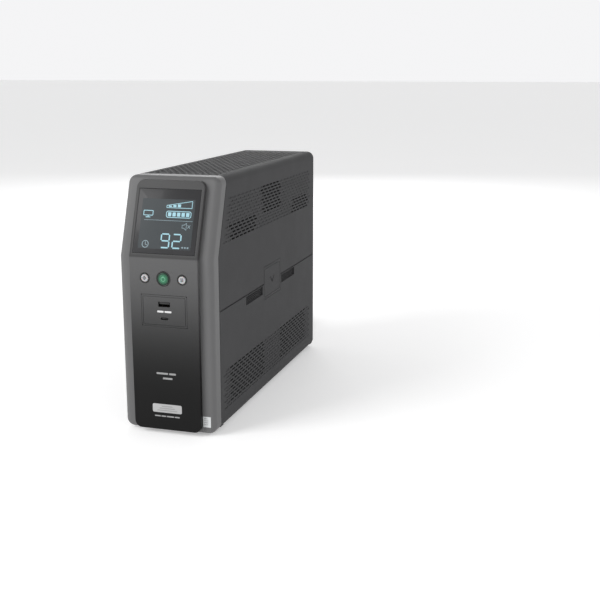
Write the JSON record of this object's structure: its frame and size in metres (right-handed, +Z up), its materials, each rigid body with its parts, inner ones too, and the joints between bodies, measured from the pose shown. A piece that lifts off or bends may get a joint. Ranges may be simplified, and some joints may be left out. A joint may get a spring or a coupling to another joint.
{
  "type": "uninterruptible power supply",
  "caption": "Tower power backup unit with a leaning display, front USB sockets, rear outlets and a battery cover that pulls off the side.",
  "frame": {"origin": "bottom centre of the unit's box without its cord, on the surface that the feet rest on", "axes": "+X is right as seen from the front, +Y runs back to the sockets, +Z is up"},
  "size_m": [0.17, 0.5024, 0.26],
  "materials": {
    "housing": "fine moulded grain, dark grey",
    "bezel": "satin mid-grey moulding",
    "fascia": "semi-gloss dark grey fading to black",
    "rear_panel": "fine grain charcoal",
    "socket_plastic": "black socket moulding",
    "button_light": "translucent white",
    "button_green": "satin green",
    "display": "polished smoked window",
    "lcd": "dark segment panel",
    "circuit_board": "green solder resist",
    "steel": "nickel plated",
    "black_screw": "black zinc",
    "gold": "gold plated",
    "copper": "enamelled copper",
    "core_steel": "varnished laminations",
    "aluminium": "milled fins",
    "battery_case": "battery case",
    "black_part": "moulded component",
    "relay_blue": "relay case",
    "lamp_red": "red lens",
    "rubber": "soft rubber",
    "cord_jacket": "vinyl jacket",
    "badge": "plain raised badge"
  },
  "bodies": {
    "unit": {"battery_socket": "black_part", "board_posts": "steel", "breaker_body": "socket_plastic", "button_board": "circuit_board", "button_rings": "socket_plastic", "button_switches": "black_part", "buzzer": "black_part", "capacitors": "black_part", "choke": "copper", "coax_connectors": "gold", "coil_tie": "black_part", "cord_coil": "cord_jacket", "cord_tail": "cord_jacket", "data_port_jack": "socket_plastic", "display_board": "circuit_board", "display_window": "display", "fault_lamp": "lamp_red", "front_badge": "badge", "front_bezel": "bezel", "front_panel": "fascia", "ground_contacts": "gold", "ground_terminal": "steel", "heat_sinks": "aluminium", "inner_chassis": "black_part", "jack_contacts": "gold", "lcd_module": "lcd", "live_contacts": "gold", "main_board": "circuit_board", "main_housing": "housing", "network_jacks": "socket_plastic", "neutral_contacts": "gold", "outlet_bank_left": "rear_panel", "outlet_bank_right": "rear_panel", "plug_blades": "steel", "plug_body": "cord_jacket", "plug_ground_pin": "steel", "power_cord": "cord_jacket", "rear_panel": "rear_panel", "rear_screws": "black_screw", "relays": "relay_blue", "right_cover": "housing", "rubber_feet": "rubber", "strain_relief": "cord_jacket", "transformer_bracket": "steel", "transformer_core": "core_steel", "transformer_winding": "copper", "usb_a_port": "steel", "usb_board": "circuit_board", "usb_c_port": "steel", "usb_plate": "fascia"},
    "mute_button": {"mute_button": "button_light"},
    "power_button": {"power_button": "button_green"},
    "menu_button": {"menu_button": "button_light"},
    "breaker_button": {"breaker_button": "black_part"},
    "battery_cover": {"battery_cover": "housing"},
    "cover_latch": {"cover_latch": "housing"},
    "battery_cartridge": {"battery_front": "battery_case", "battery_rear": "battery_case", "battery_tabs": "steel", "battery_plug": "black_part"}
  },
  "joints": [
    {"name": "mute_press", "type": "slide", "parent": "unit", "child": "mute_button", "axis": [0, 1, 0], "range_m": [0, 0.001], "stiffness_N_per_m": 300},
    {"name": "power_press", "type": "slide", "parent": "unit", "child": "power_button", "axis": [0, 1, 0], "range_m": [0, 0.001], "stiffness_N_per_m": 300},
    {"name": "menu_press", "type": "slide", "parent": "unit", "child": "menu_button", "axis": [0, 1, 0], "range_m": [0, 0.001], "stiffness_N_per_m": 300},
    {"name": "breaker_trip", "type": "slide", "parent": "unit", "child": "breaker_button", "axis": [0, 1, 0], "range_m": [0, 0.003]},
    {"name": "cartridge_slide", "type": "slide", "parent": "unit", "child": "battery_cartridge", "axis": [1, 0, 0], "range_m": [0, 0.088]},
    {"name": "cover_slide", "type": "slide", "parent": "unit", "child": "battery_cover", "axis": [1, 0, 0], "range_m": [0, 0.176]},
    {"name": "latch_press", "type": "slide", "parent": "battery_cover", "child": "cover_latch", "axis": [-1, 0, 0], "range_m": [0, 0.003], "stiffness_N_per_m": 700}
  ],
  "couplings": [
    {"joint": "cover_slide", "follows": "cartridge_slide", "ratio": 2}
  ]
}
